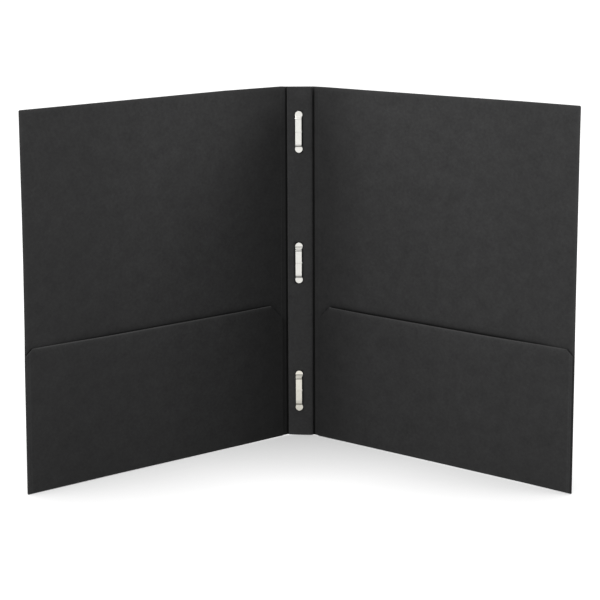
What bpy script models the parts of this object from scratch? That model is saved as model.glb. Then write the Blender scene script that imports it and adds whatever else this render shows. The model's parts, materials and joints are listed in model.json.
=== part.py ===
"""Twin-pocket paper folder with a flat spine and three double-prong fasteners.

It stands open in a V on its lower edges, seen from its inner side: the spine is at the back (+Y) and the
two covers come forward (-Y). Metres, +Z up, origin at the middle of the bounding box's base.
"""

import math

import bmesh
import bpy

# Covers and spine, measured between fold lines and cut edges
FOLDER_HEIGHT = 0.2905
COVER_WIDTH = 0.243
SPINE_WIDTH = 0.0224
COVER_SWING = math.radians(52)
BOARD = 0.00045
COVER_CORNER_RADIUS = 0.0012

# The strip glued inside the spine over the fastener bases
LINER_BOARD = 0.00035
LINER_MARGIN = 0.0008

# Pockets, folded up from the covers' lower edges
POCKET_HEIGHT = 0.1115
POCKET_START = 0.0046
POCKET_OUTER_CHAMFER = 0.0052
POCKET_INNER_CHAMFER = 0.0124
TAB_WIDTH = 0.016
TAB_SLOPE = 0.006

# Fasteners, at the pitch of three-hole punched sheets
FASTENER_PITCH = 0.10795
FASTENER_SHIFT_X = -0.0012
FASTENER_SHIFT_Z = 0.00065
PRONG_METAL = 0.0004
PRONG_WIDTH = 0.0050
PRONG_REACH = 0.0169
PRONG_FLAT = 0.0102
PRONG_STEP = 0.0024
PRONG_LIFT = 0.0013
TIP_RADIUS = 0.0030
TIP_STEPS = 7
BASE_LENGTH = 0.020

# Clearances
LAYER_GAP = 0.0003
FOLD_GAP = 0.00035
PRONG_SPLIT = 0.0003

# Levels along a cover's inward normal, counted from the middle of its board
COVER_OUTSIDE = -BOARD / 2
COVER_INSIDE = BOARD / 2
TAB_BACK = COVER_INSIDE + LAYER_GAP
TAB_FRONT = TAB_BACK + BOARD
POCKET_BACK = TAB_FRONT + LAYER_GAP
POCKET_FRONT = POCKET_BACK + BOARD

# Levels towards the reader in front of the middle of the spine's board
BASE_BACK = BOARD / 2 + LAYER_GAP
BASE_FRONT = BASE_BACK + PRONG_METAL
LINER_BACK = BASE_FRONT + LAYER_GAP
LINER_FRONT = LINER_BACK + LINER_BOARD
TIP_BACK = LINER_FRONT + LAYER_GAP
ARM_BACK = LINER_FRONT + PRONG_LIFT
ARM_MIDDLE = ARM_BACK + PRONG_METAL / 2
STUB_FRONT = ARM_BACK - LAYER_GAP

# Heights above the surface that the folder stands on
POCKET_FOLD_Z = BOARD + LAYER_GAP / 2
PANEL_START_Z = BOARD + LAYER_GAP
FASTENER_MIDDLE_Z = FOLDER_HEIGHT / 2 + FASTENER_SHIFT_Z
FASTENER_Z = {
    "top": FASTENER_MIDDLE_Z + FASTENER_PITCH,
    "middle": FASTENER_MIDDLE_Z,
    "bottom": FASTENER_MIDDLE_Z - FASTENER_PITCH,
}

# The fold axes' place, which centres the bounding box on the origin
FRONT_REACH = COVER_WIDTH * math.cos(COVER_SWING) + POCKET_FRONT * math.sin(COVER_SWING)
FOLD_Y = (FRONT_REACH - BOARD / 2) / 2
FOLD_X = SPINE_WIDTH / 2

# A cover's local X runs along it, away from the fold; its inward normal is local Y times its side's sign
SIDES = {
    "left": {"x": -FOLD_X, "turn": math.radians(270) - COVER_SWING, "inward": 1},
    "right": {"x": FOLD_X, "turn": math.radians(270) + COVER_SWING, "inward": -1},
}


def clear_scene():
    for obj in list(bpy.data.objects):
        bpy.data.objects.remove(obj, do_unlink=True)


def make_material(name, colour, roughness, metallic):
    material = bpy.data.materials.new(name)
    material.use_nodes = True
    shader = material.node_tree.nodes["Principled BSDF"]
    shader.inputs["Base Color"].default_value = (*colour, 1)
    shader.inputs["Roughness"].default_value = roughness
    shader.inputs["Metallic"].default_value = metallic
    material.diffuse_color = (*colour, 1)
    return material


def make_object(name, bm, material, parent=None):
    """Turns a bmesh into a named object whose faces point out."""
    bmesh.ops.recalc_face_normals(bm, faces=bm.faces)
    mesh = bpy.data.meshes.new(name)
    bm.to_mesh(mesh)
    bm.free()
    mesh.materials.append(material)
    obj = bpy.data.objects.new(name, mesh)
    bpy.context.collection.objects.link(obj)
    obj.parent = parent
    return obj


def prism(outline, low, high, place):
    """A closed solid: an outline of (a, b) points carried from level low to level high.

    place(a, b, level) gives a point's coordinates.
    """
    bm = bmesh.new()
    lower = [bm.verts.new(place(a, b, low)) for a, b in outline]
    upper = [bm.verts.new(place(a, b, high)) for a, b in outline]
    bm.faces.new(lower)
    bm.faces.new(upper)
    for i in range(len(outline)):
        j = (i + 1) % len(outline)
        bm.faces.new((lower[i], lower[j], upper[j], upper[i]))
    return bm


def arc(centre_a, centre_b, radius, start, end, steps):
    """Points on an arc from angle start to angle end, both included."""
    angles = [start + (end - start) * i / steps for i in range(steps + 1)]
    return [(centre_a + radius * math.cos(t), centre_b + radius * math.sin(t)) for t in angles]


def fold_axis(side):
    """The empty on a cover's fold axis that carries the cover's pieces."""
    empty = bpy.data.objects.new(f"{side}_fold_axis", None)
    bpy.context.collection.objects.link(empty)
    empty.location = (SIDES[side]["x"], FOLD_Y, 0)
    empty.rotation_euler = (0, 0, SIDES[side]["turn"])
    return empty


def pocket_axis(side, cover_axis):
    """The empty on a pocket's lower fold, at the middle of the pocket's board."""
    empty = bpy.data.objects.new(f"{side}_pocket_axis", None)
    bpy.context.collection.objects.link(empty)
    empty.parent = cover_axis
    empty.location = (0, SIDES[side]["inward"] * (POCKET_BACK + POCKET_FRONT) / 2, POCKET_FOLD_Z)
    return empty


def cover_panel(side, axis, material):
    """The cover's single board, cut back at the foot where the folded edge passes under it."""
    inward = SIDES[side]["inward"]
    step = POCKET_START - LAYER_GAP
    radius = COVER_CORNER_RADIUS
    outline = [(FOLD_GAP, 0), (step, 0), (step, PANEL_START_Z), (COVER_WIDTH, PANEL_START_Z)]
    outline += arc(COVER_WIDTH - radius, FOLDER_HEIGHT - radius, radius, 0, math.pi / 2, 4)
    outline += [(FOLD_GAP, FOLDER_HEIGHT)]
    bm = prism(outline, COVER_OUTSIDE, COVER_INSIDE, lambda u, z, n: (u, inward * n, z))
    make_object(f"{side}_cover_panel", bm, material, axis)


def bottom_fold(side, axis, material):
    """The turned lower edge that joins the cover to its pocket and stands on the table."""
    inward = SIDES[side]["inward"]
    outline = [(POCKET_START, 0), (COVER_WIDTH, 0), (COVER_WIDTH, BOARD), (POCKET_START, BOARD)]
    bm = prism(outline, COVER_OUTSIDE, POCKET_FRONT, lambda u, z, n: (u, inward * n, z))
    make_object(f"{side}_bottom_fold", bm, material, axis)


def side_tab(side, axis, material):
    """The glue tab, tucked between the cover and the pocket along their outer edge."""
    inward = SIDES[side]["inward"]
    top = POCKET_HEIGHT - POCKET_OUTER_CHAMFER - LAYER_GAP
    inner = COVER_WIDTH - TAB_WIDTH
    outline = [(inner, PANEL_START_Z), (COVER_WIDTH, PANEL_START_Z), (COVER_WIDTH, top), (inner, top - TAB_SLOPE)]
    bm = prism(outline, TAB_BACK, TAB_FRONT, lambda u, z, n: (u, inward * n, z))
    make_object(f"{side}_side_tab", bm, material, axis)


def pocket_panel(side, axis, material):
    """The pocket's face, with a small cut corner outside and a large one by the spine."""
    inward = SIDES[side]["inward"]
    middle = (POCKET_BACK + POCKET_FRONT) / 2
    outline = [
        (POCKET_START, PANEL_START_Z),
        (COVER_WIDTH, PANEL_START_Z),
        (COVER_WIDTH, POCKET_HEIGHT - POCKET_OUTER_CHAMFER),
        (COVER_WIDTH - POCKET_OUTER_CHAMFER, POCKET_HEIGHT),
        (POCKET_START + POCKET_INNER_CHAMFER, POCKET_HEIGHT),
        (POCKET_START, POCKET_HEIGHT - POCKET_INNER_CHAMFER),
    ]

    def place(u, z, n):
        return (u, inward * (n - middle), z - POCKET_FOLD_Z)

    bm = prism(outline, POCKET_BACK, POCKET_FRONT, place)
    make_object(f"{side}_pocket_panel", bm, material, axis)


def spine_panel(material):
    half = FOLD_X - FOLD_GAP
    outline = [(-half, 0), (half, 0), (half, FOLDER_HEIGHT), (-half, FOLDER_HEIGHT)]
    bm = prism(outline, -BOARD / 2, BOARD / 2, lambda x, z, n: (x, FOLD_Y - n, z))
    make_object("spine_panel", bm, material)


def slit_cutter(name, z):
    """A guide block where the prongs come through the liner."""
    half_x = PRONG_WIDTH / 2 + LAYER_GAP
    half_z = PRONG_SPLIT / 2 + PRONG_METAL + LAYER_GAP
    outline = [
        (FASTENER_SHIFT_X - half_x, z - half_z),
        (FASTENER_SHIFT_X + half_x, z - half_z),
        (FASTENER_SHIFT_X + half_x, z + half_z),
        (FASTENER_SHIFT_X - half_x, z + half_z),
    ]
    low = LINER_BACK - LINER_BOARD
    high = LINER_FRONT + LINER_BOARD
    bm = prism(outline, low, high, lambda x, height, n: (x, FOLD_Y - n, height))
    bmesh.ops.recalc_face_normals(bm, faces=bm.faces)
    mesh = bpy.data.meshes.new(name)
    bm.to_mesh(mesh)
    bm.free()
    cutter = bpy.data.objects.new(name, mesh)
    bpy.context.collection.objects.link(cutter)
    cutter.hide_render = True
    cutter.display_type = "WIRE"
    return cutter


def spine_liner(material):
    """The strip inside the spine, with one slit for each fastener's two prongs."""
    half = FOLD_X - LINER_MARGIN
    outline = [(-half, 0), (half, 0), (half, FOLDER_HEIGHT), (-half, FOLDER_HEIGHT)]
    bm = prism(outline, LINER_BACK, LINER_FRONT, lambda x, z, n: (x, FOLD_Y - n, z))
    liner = make_object("spine_liner", bm, material)
    for place, z in FASTENER_Z.items():
        cut = liner.modifiers.new(f"{place}_slit", "BOOLEAN")
        cut.operation = "DIFFERENCE"
        cut.solver = "EXACT"
        cut.object = slit_cutter(f"{place}_slit_guide", z)


def fastener_base(place, z, material):
    """The flat base behind the liner, with the two prongs' necks standing through the slit."""
    inner = PRONG_SPLIT / 2
    outer = inner + PRONG_METAL
    half = BASE_LENGTH / 2
    outline = [
        (-half, BASE_BACK),
        (half, BASE_BACK),
        (half, BASE_FRONT),
        (outer, BASE_FRONT),
        (outer, STUB_FRONT),
        (inner, STUB_FRONT),
        (inner, BASE_FRONT),
        (-inner, BASE_FRONT),
        (-inner, STUB_FRONT),
        (-outer, STUB_FRONT),
        (-outer, BASE_FRONT),
        (-half, BASE_FRONT),
    ]
    low = FASTENER_SHIFT_X - PRONG_WIDTH / 2
    high = FASTENER_SHIFT_X + PRONG_WIDTH / 2
    bm = prism(outline, low, high, lambda height, n, x: (x, FOLD_Y - n, z + height))
    make_object(f"{place}_fastener_base", bm, material)


def prong_half_width(z):
    """Half the prong's width at a distance z from the slit: a straight arm, then a round tip."""
    from_centre = z - (PRONG_REACH - TIP_RADIUS)
    round_half = math.sqrt(max(TIP_RADIUS**2 - from_centre**2, 0))
    if from_centre > 0:
        return round_half
    return max(PRONG_WIDTH / 2, round_half)


def prong_back(z):
    """How far the prong's back stands in front of the spine: a raised arm, a step, and a flat tip."""
    if z <= PRONG_FLAT:
        return ARM_BACK
    if z >= PRONG_FLAT + PRONG_STEP:
        return TIP_BACK
    return ARM_BACK + (TIP_BACK - ARM_BACK) * (z - PRONG_FLAT) / PRONG_STEP


def prong_stations():
    """Distances from the slit at which the prong's cross-section is laid, root first."""
    centre = PRONG_REACH - TIP_RADIUS
    bulge = max(TIP_RADIUS**2 - (PRONG_WIDTH / 2) ** 2, 0)
    start = -math.asin(math.sqrt(bulge) / TIP_RADIUS)
    angles = [start + (math.pi / 2 - start) * i / TIP_STEPS for i in range(TIP_STEPS)]
    stations = {PRONG_SPLIT / 2, PRONG_FLAT, PRONG_FLAT + PRONG_STEP}
    stations.update(centre + TIP_RADIUS * math.sin(t) for t in angles)
    return sorted(stations)


def prong(place, z, up, material):
    """One prong lying flat, its origin on the line where it bends up. up is 1 or -1."""
    bend_z = up * (PRONG_SPLIT + PRONG_METAL) / 2
    bm = bmesh.new()

    def corner(x, back, along):
        return bm.verts.new((x, ARM_MIDDLE - back, up * along - bend_z))

    rings = []
    for along in prong_stations():
        half = prong_half_width(along)
        back = prong_back(along)
        front = back + PRONG_METAL
        rings.append(
            [corner(-half, back, along), corner(half, back, along)]
            + [corner(half, front, along), corner(-half, front, along)]
        )
    back = prong_back(PRONG_REACH)
    end = [corner(0, back, PRONG_REACH), corner(0, back + PRONG_METAL, PRONG_REACH)]
    bm.faces.new(rings[0])
    for first, second in zip(rings, rings[1:]):
        for i in range(4):
            j = (i + 1) % 4
            bm.faces.new((first[i], first[j], second[j], second[i]))
    last = rings[-1]
    bm.faces.new((last[0], last[1], end[0]))
    bm.faces.new((last[1], last[2], end[1], end[0]))
    bm.faces.new((last[2], last[3], end[1]))
    bm.faces.new((last[3], last[0], end[0], end[1]))
    name = "upper" if up > 0 else "lower"
    obj = make_object(f"{place}_{name}_prong", bm, material)
    obj.location = (FASTENER_SHIFT_X, FOLD_Y - ARM_MIDDLE, z + bend_z)


def main():
    clear_scene()
    board = make_material("folder_board", (0.033, 0.033, 0.034), 0.85, 0)
    liner_paper = make_material("liner_paper", (0.036, 0.036, 0.037), 0.85, 0)
    metal = make_material("fastener_metal", (0.78, 0.77, 0.74), 0.35, 0.9)
    spine_panel(board)
    spine_liner(liner_paper)
    for place, z in FASTENER_Z.items():
        fastener_base(place, z, metal)
        prong(place, z, 1, metal)
        prong(place, z, -1, metal)
    for side in SIDES:
        cover_axis = fold_axis(side)
        cover_panel(side, cover_axis, board)
        bottom_fold(side, cover_axis, board)
        side_tab(side, cover_axis, board)
        pocket_panel(side, pocket_axis(side, cover_axis), board)


main()
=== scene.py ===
"""Looks of an open two-pocket paper folder with three double-prong fasteners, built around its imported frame.

Metres, +Z up. The spine is at the back (+Y) and the covers come forward to the reader (-Y). A side is -1 for
the left and 1 for the right, and a value kept by side differs between the two, as on a real folder.
"""

import json
import math

import bpy
from mathutils import Matrix, Vector

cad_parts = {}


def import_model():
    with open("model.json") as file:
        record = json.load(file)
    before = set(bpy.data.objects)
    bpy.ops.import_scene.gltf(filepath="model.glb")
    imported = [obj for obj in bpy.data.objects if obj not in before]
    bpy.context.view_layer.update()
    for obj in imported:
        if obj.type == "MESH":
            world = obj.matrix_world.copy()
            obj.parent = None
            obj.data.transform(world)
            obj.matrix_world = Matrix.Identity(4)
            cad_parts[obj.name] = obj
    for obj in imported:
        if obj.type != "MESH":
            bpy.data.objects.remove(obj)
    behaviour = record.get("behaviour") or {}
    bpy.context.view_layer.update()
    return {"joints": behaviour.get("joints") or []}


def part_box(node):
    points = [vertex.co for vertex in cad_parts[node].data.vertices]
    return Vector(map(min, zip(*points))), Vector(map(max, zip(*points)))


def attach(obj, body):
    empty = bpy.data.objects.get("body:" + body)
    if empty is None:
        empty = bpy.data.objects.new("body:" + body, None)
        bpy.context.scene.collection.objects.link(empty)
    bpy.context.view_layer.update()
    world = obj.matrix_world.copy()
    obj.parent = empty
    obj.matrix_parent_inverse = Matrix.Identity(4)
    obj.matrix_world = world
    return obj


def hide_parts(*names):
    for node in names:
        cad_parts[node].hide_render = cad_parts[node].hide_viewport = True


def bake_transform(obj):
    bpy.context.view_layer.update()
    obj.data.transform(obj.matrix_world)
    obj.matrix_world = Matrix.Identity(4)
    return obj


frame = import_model()
JOINTS = {joint["name"]: joint for joint in frame["joints"]}

# Spine and covers, from the frame
SPINE_LOW, SPINE_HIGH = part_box("spine_panel")
HEIGHT = SPINE_HIGH.z
BOARD = SPINE_HIGH.y - SPINE_LOW.y
FOLD_X = JOINTS["right_cover_fold"]["pos_m"][0]
FOLD_Y = JOINTS["right_cover_fold"]["pos_m"][1]
SWING = math.radians(JOINTS["right_cover_fold"]["range_deg"][1])
BEND = math.pi / 2 - SWING
COVER_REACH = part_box("right_cover_panel")[1].x - BOARD / 2 * math.cos(SWING)
COVER_WIDTH = (COVER_REACH - FOLD_X) / math.sin(SWING)
COVER_CORNER_RADIUS = 0.0012
UPRIGHT = Vector((0, 0, 1))

# The left cover is twisted a little: its top corner leans in and its foot's corner out, by this much
LEFT_TWIST = 0.0029

# The covers were not cut quite square. Top edge: (share of the cover's width, rise)
TOP_RISE = {
    -1: ((0.0, 0.0), (0.02, 0.00042), (0.1, 0.00055), (0.25, 0.0008), (0.4, 0.00047), (1.0, -0.00095)),
    1: ((0.0, 0.0), (0.05, 0.0002), (0.2, 0.00024), (0.5, 0.00043), (0.8, 0.00073), (1.0, 0.0006)),
}

# Outer edge: (share of the height, how much further out the edge runs), fading inwards over this width
OUTER_RUN = {
    -1: ((0.0, 0.0007), (0.34, 0.0005), (0.42, 0.0001), (0.6, -0.0001), (0.72, 0.0), (0.85, 0.00035),
         (1.0, 0.0007)),
    1: ((0.0, 0.00055), (0.34, 0.0003), (0.42, 0.0001), (0.6, 0.0), (0.9, 0.0), (1.0, 0.00018)),
}
OUTER_RUN_WIDTH = 0.012

# Foot: (share of the cover's width, how much lower its edge runs), within this height of the foot
FOOT_DROP = {
    -1: ((0.0, 0.00025), (0.05, 0.00012), (0.15, 0.0003), (0.4, 0.0004), (0.7, 0.0005), (1.0, 0.0009)),
    1: ((0.0, 0.0006), (0.05, 0.0006), (0.15, 0.0005), (0.5, 0.0003), (0.85, 0.0003), (1.0, 0.0006)),
}
FOOT_DROP_HEIGHT = 0.03

# Painted shade: the board is darkened near the folds, towards the outer edges and towards the foot
FOLD_SHADE_DEPTH = 0.35
FOLD_SHADE_REACH = {-1: 0.085, 1: 0.065}
POCKET_FOLD_SHADE_DEPTH = 0.41
OUTER_SHADE_DEPTH = {-1: 0.16, 1: 0.06}
OUTER_SHADE_FROM = {-1: 0.5, 1: 0.6}
OUTER_SHADE_RUN = {-1: 0.35, 1: 0.25}
FOOT_SHADE_DEPTH = 0.20

# A sheet's back has its own marks: this share of the front's, and this level besides. The back keeps a faint
# share of the painted crease shade, and an even shade level in place of the front's painted shade
BACK_MARK_SHARE = {"crease": 0.12, "wear_and_highlight": 1.0, "shade": 0.0}
BACK_MARK_LEVEL = {"crease": 0.0, "wear_and_highlight": 0.0, "shade": 0.18}

# Cut edges are pale with wear and a painted highlight: a line at the edge, and a fainter painted highlight
# (share, reach) beside a cover's
RIM_WEAR_AND_HIGHLIGHT = 0.0010
RIM_HIGHLIGHT_SHARE = 0.35
RIM_HIGHLIGHT_REACH = 0.0042
SPINE_RIM_WEAR_AND_HIGHLIGHT = 0.0007
LINER_RIM_WEAR_AND_HIGHLIGHT = 0.0006
FOOT_WEAR = 0.5

# Painted shade behind a pocket's mouth on its cover: a dark line and a cloud above it, less at both ends
MOUTH_LINE_DARK = {-1: 0.52, 1: 0.50}
MOUTH_LINE_REACH = {-1: 0.0019, 1: 0.0030}
MOUTH_LINE_BELOW = 0.0010
MOUTH_DARK = {-1: 0.24, 1: 0.42}
MOUTH_DARK_REACH = 0.0072
MOUTH_DARK_POWER = 1.5
MOUTH_DARK_INSIDE = 0.007
MOUTH_INNER_FADE = 0.010
MOUTH_OUTER_FADE = 0.7
MOUTH_OUTER_FADE_FROM = 0.86
MOUTH_OUTER_FADE_RUN = 0.12
CORNER_DARK = {-1: 1.35, 1: 0.95}
MARK_BORDER = 0.001

# Main folds and the second score beside each of them, with painted shade in the folds' valleys and a painted
# highlight on each score's bead
SEAM_FROM_FOLD = 0.0005
SEAM_TOP_PALE = {-1: 0.5, 1: 1.0}
SEAM_TOP_REACH = 0.0042
CREASE_DARK_TO = 0.0006
CREASE_FADES_TO = {-1: 0.0017, 1: 0.0012}
SPINE_DARK_FROM = 0.0085
FOLD_ROUND = 0.0007
GROOVE_DEPTH = 0.00016
GROOVE_HALF_WIDTH = 0.00042
OUTER_BEAD = 0.00005
SCORE_FROM_FOLD = 0.0053
SCORE_HALF_WIDTH = 0.00065
SCORE_BEAD = 0.00010
SCORE_OUTER_GROOVE = 0.00006
SCORE_PAINTED_HIGHLIGHT = 0.22
FLEX_START = 0.00030

# Pockets, from the frame
POCKET_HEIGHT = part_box("right_pocket_panel")[1].z
POCKET_AXIS = Vector(JOINTS["right_pocket_fold"]["pos_m"])
POCKET_LEVEL = (POCKET_AXIS.xy - Vector((FOLD_X, FOLD_Y))).length
POCKET_INNER = {-1: 0.0058, 1: 0.0049}
POCKET_NOTCH = 0.0003
POCKET_OUTER_CHAMFER = {-1: 0.0058, 1: 0.0061}
POCKET_INNER_CHAMFER = 0.0124
POCKET_EDGE_STAND = {-1: 0.0004, 1: 0.0003}
POCKET_EDGE_STAND_WIDTH = 0.012
POCKET_EDGE_CREASE = 0.0026
POCKET_CREASE_DEPTH = 0.00005
POCKET_CREASE_HALF_WIDTH = 0.0005
# Painted shade in the pocket's crease near its outer edge
POCKET_CREASE_DARK = 0.15
# Painted shade on the pocket's outer fold, where it turns away from the light
POCKET_TURN_PAINTED_SHADE = {-1: 0.0, 1: 0.55}
POCKET_TURN_FROM = 0.0016
TAB_WIDTH = 0.016
TAB_SLOPE = 0.006
TAB_LEVEL = 0.00075
TAB_DROP = 0.0003
FOLD_TURN_RADIUS = POCKET_LEVEL / 2
FOLD_TURN_Z = FOLD_TURN_RADIUS + BOARD / 2
TAB_TURN_RADIUS = (POCKET_LEVEL - TAB_LEVEL) / 2

# A pocket's mouth: how far its middle gapes and from where to where, how its lip curls and is pale with wear
# and a painted highlight, and painted light below the mouth and on the outer strip
MOUTH_RISE_INNER = {-1: 0.0011, 1: -0.0004}
MOUTH_RISE_OUTER = {-1: 0.0, 1: -0.0014}
POCKET_GAPE = 0.0022
POCKET_GAPE_POWER = 1.4
GAPE_OPENS_FROM = -0.010
GAPE_OPEN_AT = 0.060
GAPE_CLOSES_FROM = 0.167
GAPE_CLOSED_AT = 0.227
POCKET_LIP = 0.0014
POCKET_LIP_CURL = 0.00014
LIP_WEAR_AND_HIGHLIGHT = {-1: 2.0, 1: 1.5}
LIP_MARK_ENDS = 0.7
LIP_MARK_WIDTH = 0.0016
LIP_HIGHLIGHT_SHARE = 0.4
LIP_HIGHLIGHT_REACH = 0.0045
CORNER_LIP_SHARE = 0.45
MOUTH_MIDDLE = 0.55
MOUTH_MIDDLE_SPREAD = 0.5
# Painted light: the pocket is lighter below the middle of its mouth and on the strip past its crease
MOUTH_PAINTED_LIGHT = 0.13
MOUTH_PAINTED_LIGHT_REACH = 0.022
OUTER_STRIP_WIDTH = 0.0045
OUTER_STRIP_PAINTED_LIGHT = 0.2

# The strip glued inside the spine: levels are counted from the middle of the spine's board
LINER_PAPER = 0.00035
LINER_FRONT = FOLD_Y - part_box("spine_liner")[0].y
LINER_LEFT_X = -0.0102
LINER_RIGHT_X = 0.0100
LINER_EDGE_STAND = 0.0004
LINER_EDGE_FRONT = BOARD / 2 + LINER_EDGE_STAND
LINER_LEFT_RISE = 0.0034
LINER_RIGHT_RISE = 0.0009
LINER_SHOULDER = 0.0006
LINER_SHOULDER_DROP = 0.0002
SLOPE_STEP = 0.00005

# Fasteners, from the frame
PRONG_LOW, PRONG_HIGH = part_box("middle_upper_prong")
BASE_BOX = {place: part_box(f"{place}_fastener_base") for place in ("top", "middle", "bottom")}
BASE_LOW, BASE_HIGH = BASE_BOX["middle"]
FASTENER_X = (BASE_LOW.x + BASE_HIGH.x) / 2
FASTENER_Z = {place: (low.z + high.z) / 2 for place, (low, high) in BASE_BOX.items()}
PRONG_METAL = 0.0004
PRONG_WIDTH = BASE_HIGH.x - BASE_LOW.x
PRONG_REACH = PRONG_HIGH.z - FASTENER_Z["middle"]
ARM_LEVEL = FOLD_Y - PRONG_LOW.y - PRONG_METAL / 2
ARM_SHIFT = -0.0003
TIP_GAP = 0.00006
TIP_LEVEL = LINER_FRONT + TIP_GAP + PRONG_METAL / 2
CREST_HALF_LENGTH = 0.0011
TIP_FILLET = 0.0011
BASE_LEVEL = FOLD_Y - BASE_HIGH.y + PRONG_METAL / 2
BASE_LENGTH = BASE_HIGH.z - BASE_LOW.z
SLIT_SIDE_GAP = 0.0003
SLIT_LEFT = FASTENER_X - PRONG_WIDTH / 2 - SLIT_SIDE_GAP
SLIT_RIGHT = FASTENER_X + PRONG_WIDTH / 2 + SLIT_SIDE_GAP
SLIT_HALF_HEIGHT = 0.00085

# Sizes and marks of every prong and sizes of every base, apart from what place, finish and bending give
PRONG = {
    "Place Y": FOLD_Y,
    "Metal": PRONG_METAL,
    "Width": PRONG_WIDTH,
    "Arm Shift": ARM_SHIFT,
    "Reach": PRONG_REACH,
    "Tip Radius": (PRONG_HIGH.x - PRONG_LOW.x) / 2,
    "Foot Level": BASE_LEVEL + PRONG_METAL / 2,
    "Arm Level": ARM_LEVEL,
    "Tip Level": TIP_LEVEL,
    "Bend Radius": 0.00021,
    "Seam Gap": 0.00006,
    "Step Start": 0.0106,
    "Step Length": 0.0017,
    "Crest Rise": 0.00006,
    "Crest Line": 0.0,
    "Tip Line": 0.0,
    "Riser Line": 0.0,
    "Arm Fade": 0.0,
    "Fade Length": 0.0042,
}
PRONG_SIZES = ("Direction", "Place X", "Place Z", *PRONG, "Darkened", "Warmth")
BASE = {"Place Y": FOLD_Y - BASE_LEVEL, "Metal": PRONG_METAL, "Width": PRONG_WIDTH, "Length": BASE_LENGTH}
BASE_SIZES = ("Place X", "Place Z", *BASE)

# Each fastener sits a little askew and has its own darkening and tarnish, and each prong its own bends and
# painted shade lines
FASTENER_DRIFT = {"top": 0.0002, "middle": 0.0, "bottom": -0.0002}
FINISH = {
    "top": {"Darkened": 0.11, "Warmth": 0.0},
    "middle": {"Darkened": 0.17, "Warmth": 0.0},
    "bottom": {"Darkened": 0.13, "Warmth": 0.7},
}
OWN_BENDS_AND_SHADE = {
    ("top", "upper"): {"Crest Line": 0.2, "Step Length": 0.0027},
    ("middle", "upper"): {"Crest Line": 0.85, "Tip Line": 0.75},
    ("bottom", "upper"): {
        "Crest Line": 1.0, "Tip Line": 1.0, "Riser Line": 0.4, "Arm Fade": 0.05, "Darkened": 0.105
    },
    ("top", "lower"): {"Riser Line": 0.45, "Arm Fade": 0.55, "Fade Length": 0.0022},
    ("middle", "lower"): {"Riser Line": 0.6, "Arm Fade": 0.55, "Fade Length": 0.0026},
    ("bottom", "lower"): {"Riser Line": 0.6, "Arm Fade": 0.38, "Reach": PRONG_REACH + 0.0004},
}
# Where the painted shade lines lie along a prong and how wide they are
CREST_LINE_AT = 0.01025
TIP_LINE_AT = 0.0133
RISER_LINE_AT = 0.0117
BEND_LINE_HALF_WIDTH = 0.0007
RISER_LINE_HALF_WIDTH = 0.0013

# Painted shadow beside each strip on the liner, which stays where it is when a prong lifts
STRIP_SHADE_RIGHT = 0.62
STRIP_SHADE_LEFT = {"top": 0.2, "middle": 0.62, "bottom": 0.14}
STRIP_SHADE_REACH_RIGHT = 0.0022
STRIP_SHADE_REACH_LEFT = 0.0024
STRIP_SHADE_END = 0.0012

# Cut edges are softened over this distance, down to this share of the board's thickness
EDGE_SOFT = 0.00012
EDGE_SHARE = 0.55
EDGE_STEPS = (0.0, 0.00003, 0.00007, 0.00012)
TOP_ROWS = [HEIGHT - step for step in EDGE_STEPS]
FOOT_ROWS = sorted(EDGE_STEPS, reverse=True)

# Columns and rows of the sheets' meshes, in runs of (from, to, steps), closest where a form or a mark turns
COVER_COLUMNS = (
    (-SEAM_FROM_FOLD, 0.0018, 26),
    (0.0018, 0.0042, 4),
    (SCORE_FROM_FOLD - SCORE_HALF_WIDTH, SCORE_FROM_FOLD + SCORE_HALF_WIDTH, 12),
    (0.0065, COVER_WIDTH - 0.0075, 55),
    (COVER_WIDTH - 0.007, COVER_WIDTH - 0.0015, 11),
)
COVER_ROWS = (
    (HEIGHT - 0.0005, HEIGHT - 0.005, 5),
    (HEIGHT - 0.010, POCKET_HEIGHT + 0.009, 26),
    (POCKET_HEIGHT + 0.0078, POCKET_HEIGHT - 0.0080, 28),
    (POCKET_HEIGHT - 0.0098, 0.006, 16),
)
COVER_FOOT_ROWS = [0.003, 0.0017, FOLD_TURN_Z]
COVER_FLAT_FOOT_ROWS = [0.0006, 0.0003]
CORNER_STEPS = 6
FOOT_TURN_STEPS = 14
POCKET_TOP_STEPS = EDGE_STEPS + (0.0003, 0.0006, 0.0009, 0.0012, 0.0016, 0.0023, 0.0031, 0.0042)
POCKET_ROWS_FROM_TOP = 0.006
POCKET_ROWS = (0.0, 0.94, 26)
POCKET_CORNER_COLUMN = 0.0006
POCKET_COLUMNS_TO_TURN = 0.0018
POCKET_TURN_STEPS = 10
TAB_STEPS = 8
SPINE_COLUMN_STEPS = 16
SPINE_ROWS = (HEIGHT - 0.001, 0.001, 40)
LINER_COLUMNS = (
    (LINER_LEFT_X, LINER_LEFT_X + 0.0012, 12),
    (LINER_LEFT_X + 0.0012, SLIT_LEFT - 0.0021, 6),
    (SLIT_LEFT - 0.0016, SLIT_LEFT, 4),
    (SLIT_LEFT, SLIT_RIGHT, 8),
    (SLIT_RIGHT, SLIT_RIGHT + 0.0024, 6),
    (SLIT_RIGHT + 0.003, LINER_RIGHT_X - 0.0018, 6),
    (LINER_RIGHT_X - 0.0018, LINER_RIGHT_X, 16),
)
LINER_ROWS = (0.001, HEIGHT - 0.001, 50)
NEAR = 0.00001
SHEET_SHARP_ANGLE = math.radians(38)
METAL_SHARP_ANGLE = math.radians(45)

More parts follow.
